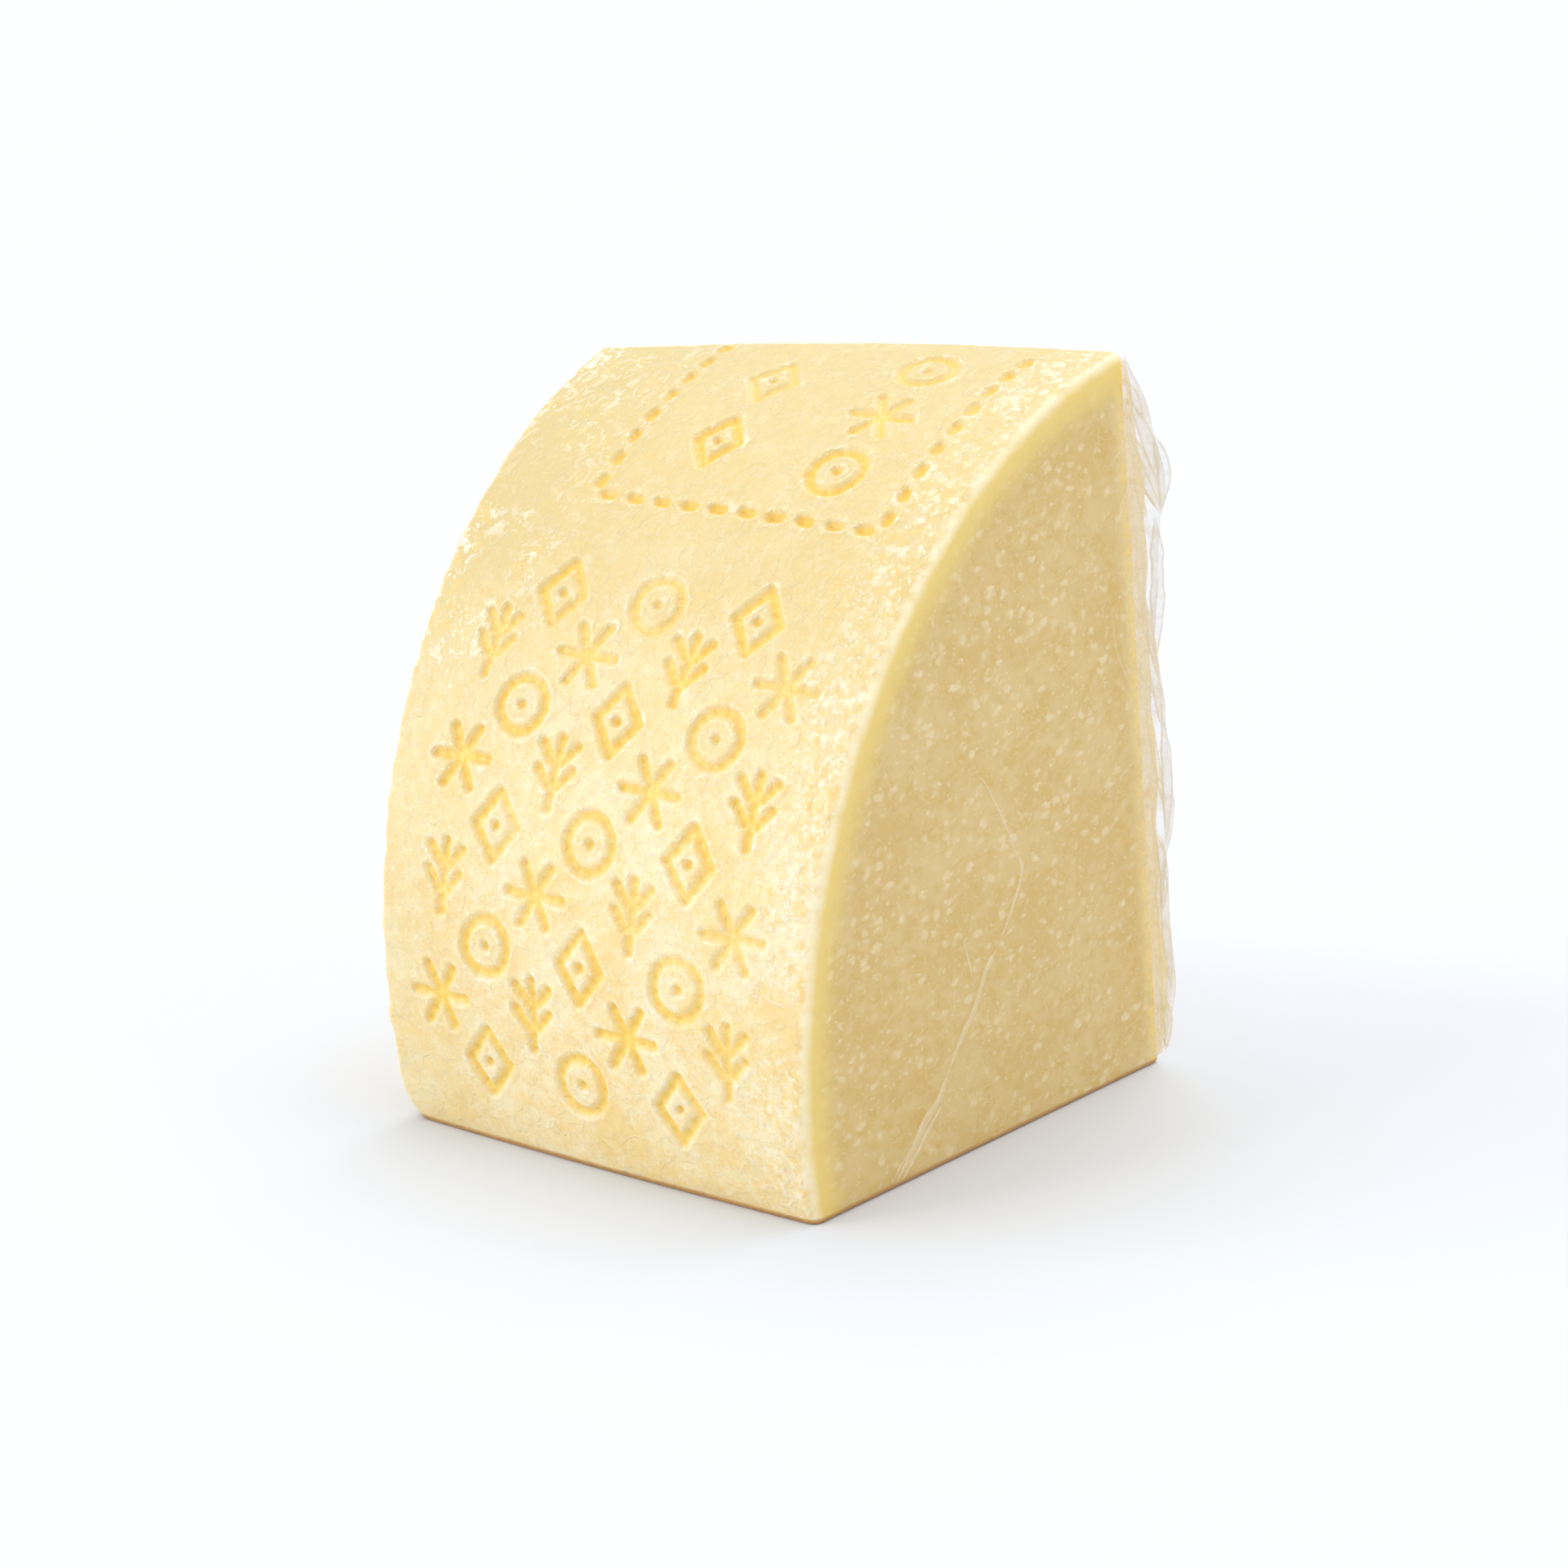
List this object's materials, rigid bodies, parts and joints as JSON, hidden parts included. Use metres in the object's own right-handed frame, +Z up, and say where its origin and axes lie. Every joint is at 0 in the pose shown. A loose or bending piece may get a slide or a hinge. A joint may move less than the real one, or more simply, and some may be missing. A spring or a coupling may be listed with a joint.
{
  "type": "wedge of hard sheep's milk cheese",
  "caption": "Tall wedge of hard sheep's milk cheese with a bulging pin-pricked rind and granular cut faces, wrapped in clear film gathered at the back.",
  "frame": {"origin": "middle of the bounding box at the base, on the surface that the wedge stands on", "axes": "+Z up, +X along the wheel's axis towards the flat side, -Y towards the rind"},
  "size_m": [0.1506, 0.1576, 0.1859],
  "materials": {
    "cheese": "pale cream waxy rind with pin-pricked grooves, tan granular cut faces",
    "clear_film": "clear cling film, crinkled and glossy"
  },
  "bodies": {
    "root": {"cheese_wedge": "cheese", "film_wrap": "clear_film"}
  },
  "joints": []
}
